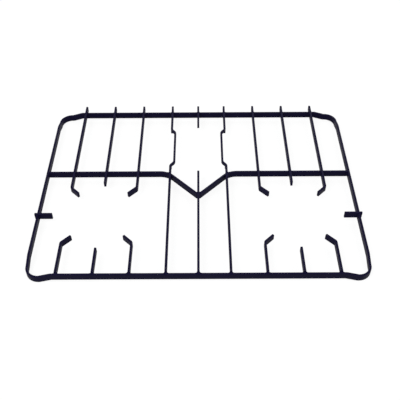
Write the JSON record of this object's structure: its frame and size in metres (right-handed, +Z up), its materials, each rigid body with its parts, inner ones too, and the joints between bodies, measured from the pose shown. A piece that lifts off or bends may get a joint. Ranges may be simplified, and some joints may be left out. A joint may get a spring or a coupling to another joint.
{
  "type": "hob pan support",
  "caption": "Welded black enamelled steel strip pan support for a three burner hob: round-cornered frame, V-shaped middle bar and fingers that point at the burners.",
  "frame": {"origin": "middle of the part's box, on the surface that its four corners stand on", "axes": "+X to the right along the front bar, +Y from the front bar to the back bar, +Z up"},
  "size_m": [0.483, 0.3664, 0.0184],
  "materials": {
    "enamel": "satin black vitreous enamel with a blue-violet cast"
  },
  "bodies": {
    "root": {"front_centre_bar": "enamel", "left_centre_finger": "enamel", "left_front_centre_finger": "enamel", "left_front_inner_finger": "enamel", "left_front_outer_finger": "enamel", "left_inner_finger": "enamel", "left_kinked_bar": "enamel", "left_outer_finger": "enamel", "left_side_lug": "enamel", "middle_bar": "enamel", "outer_frame": "enamel", "rear_centre_finger": "enamel", "right_centre_finger": "enamel", "right_front_centre_finger": "enamel", "right_front_inner_finger": "enamel", "right_front_outer_finger": "enamel", "right_inner_finger": "enamel", "right_kinked_bar": "enamel", "right_outer_finger": "enamel", "right_side_lug": "enamel"}
  },
  "joints": []
}
